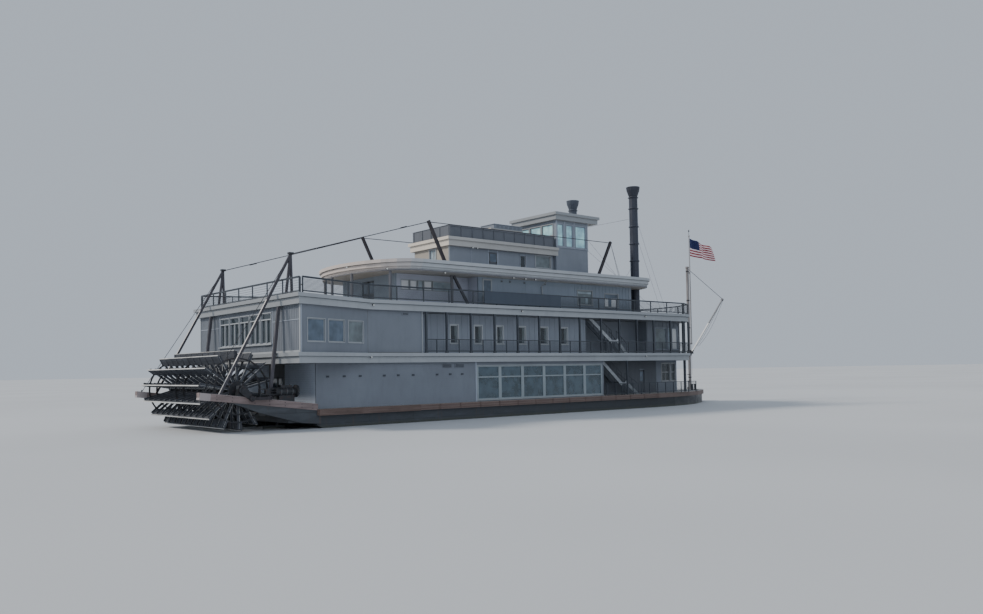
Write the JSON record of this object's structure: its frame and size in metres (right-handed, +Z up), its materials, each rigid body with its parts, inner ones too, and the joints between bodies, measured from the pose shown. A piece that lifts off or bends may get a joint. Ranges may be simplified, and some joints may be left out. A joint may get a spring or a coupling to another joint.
{
  "type": "sternwheel paddle boat, 1:2 scale model",
  "caption": "Three-deck sternwheel river boat as a half-size model, with turning wheel, rudders, boom and doors.",
  "frame": {"origin": "on the flat bottom of the hull, on the centreline amidships", "axes": "+X forward to the bow, +Y to port, +Z up; the waterline is at z = 0.7 m"},
  "size_m": [31.5922, 8.87, 11.25],
  "materials": {
    "hull_paint": "worn satin, near-black blue grey",
    "guard_wood": "weathered brown rubbing timber",
    "wall_paint": "matt blue-grey painted siding",
    "trim_paint": "matt light grey painted edge boards",
    "dark_paint": "dark grey painted metal",
    "timber_wood": "weathered brown timber",
    "mast_wood": "dark weathered timber",
    "wheel_wood": "dark wet timber with pale edges",
    "iron": "black machinery paint",
    "chimney_iron": "sooty black paint",
    "white_paint": "off-white paint",
    "flag_cloth": "woven flag cloth",
    "glass": "clear window glass"
  },
  "bodies": {
    "root": {"bare_board_port": "dark_paint", "bare_board_starboard": "dark_paint", "bearing_port": "iron", "bearing_starboard": "iron", "bitts_port": "iron", "bitts_starboard": "iron", "chimney_port": "chimney_iron", "chimney_starboard": "chimney_iron", "engine_port": "iron", "engine_starboard": "iron", "flag": "flag_cloth", "flagpole": "white_paint", "gallery_bow": "dark_paint", "gallery_port": "dark_paint", "gallery_starboard": "dark_paint", "hog_leg_port": "mast_wood", "hog_leg_starboard": "mast_wood", "hog_mast_port": "mast_wood", "hog_mast_starboard": "mast_wood", "hog_posts_port": "mast_wood", "hog_posts_starboard": "mast_wood", "hull": "hull_paint", "hurricane_roof": "trim_paint", "kingpost": "timber_wood", "main_deck": "guard_wood", "main_house": "wall_paint", "main_stair_port": "trim_paint", "main_stair_starboard": "trim_paint", "pilot_roof": "trim_paint", "pilothouse": "wall_paint", "roof_screen": "dark_paint", "second_deck": "trim_paint", "second_fore_cabin": "wall_paint", "second_house_aft": "wall_paint", "second_stair_port": "trim_paint", "second_stair_starboard": "trim_paint", "second_walls_port": "wall_paint", "second_walls_starboard": "wall_paint", "stern_timber_port": "timber_wood", "stern_timber_starboard": "timber_wood", "texas_cabin": "wall_paint", "texas_roof": "trim_paint", "third_deck": "trim_paint", "third_house": "wall_paint", "third_rail_bow": "dark_paint", "third_rail_port": "dark_paint", "third_rail_starboard": "dark_paint", "third_rail_stern": "dark_paint", "window_wall_port": "white_paint", "window_wall_starboard": "white_paint"},
    "paddle_wheel": {"paddle_wheel": "wheel_wood"},
    "pitman_port": {"pitman_port": "timber_wood"},
    "pitman_starboard": {"pitman_starboard": "timber_wood"},
    "rudder_port": {"rudder_port": "hull_paint"},
    "rudder_middle": {"rudder_middle": "hull_paint"},
    "rudder_starboard": {"rudder_starboard": "hull_paint"},
    "boom_swivel": {"boom_swivel": "iron"},
    "boom": {"boom": "white_paint"},
    "texas_door_port": {"texas_door_port": "dark_paint"},
    "texas_door_starboard": {"texas_door_starboard": "dark_paint"}
  },
  "joints": [
    {"name": "wheel_spin", "type": "hinge", "parent": "root", "child": "paddle_wheel", "pos_m": [-13.25, 0, 2.05], "axis": [0, 1, 0], "continuous": true},
    {"name": "pitman_port_turn", "type": "hinge", "parent": "paddle_wheel", "child": "pitman_port", "pos_m": [-12.98483, 3.23, 2.31517], "axis": [0, 1, 0], "continuous": true},
    {"name": "pitman_starboard_turn", "type": "hinge", "parent": "paddle_wheel", "child": "pitman_starboard", "pos_m": [-12.98483, -3.23, 1.78483], "axis": [0, 1, 0], "continuous": true},
    {"name": "rudder_middle_turn", "type": "hinge", "parent": "root", "child": "rudder_middle", "pos_m": [-11.375, 0, 0.7], "axis": [0, 0, 1], "range_deg": [-40, 40]},
    {"name": "rudder_port_turn", "type": "hinge", "parent": "root", "child": "rudder_port", "pos_m": [-11.375, 1.6, 0.7], "axis": [0, 0, 1], "range_deg": [-40, 40]},
    {"name": "rudder_starboard_turn", "type": "hinge", "parent": "root", "child": "rudder_starboard", "pos_m": [-11.375, -1.6, 0.7], "axis": [0, 0, 1], "range_deg": [-40, 40]},
    {"name": "boom_slew", "type": "hinge", "parent": "root", "child": "boom_swivel", "pos_m": [13.7, 0, 3.35], "axis": [0, 0, 1], "range_deg": [-95, 95]},
    {"name": "boom_luff", "type": "hinge", "parent": "boom_swivel", "child": "boom", "pos_m": [13.91, 0, 3.35], "axis": [0, -1, 0], "range_deg": [-38, 22]},
    {"name": "texas_door_port_swing", "type": "hinge", "parent": "root", "child": "texas_door_port", "pos_m": [-1.0003, 1.2, 7.18], "axis": [0, 0, -1], "range_deg": [0, 100]},
    {"name": "texas_door_starboard_swing", "type": "hinge", "parent": "root", "child": "texas_door_starboard", "pos_m": [-1.0003, -1.2, 7.18], "axis": [0, 0, 1], "range_deg": [0, 100]}
  ],
  "couplings": [
    {"joint": "pitman_port_turn", "follows": "wheel_spin", "ratio": -1},
    {"joint": "pitman_starboard_turn", "follows": "wheel_spin", "ratio": -1},
    {"joint": "rudder_port_turn", "follows": "rudder_middle_turn", "ratio": 1},
    {"joint": "rudder_starboard_turn", "follows": "rudder_middle_turn", "ratio": 1}
  ]
}
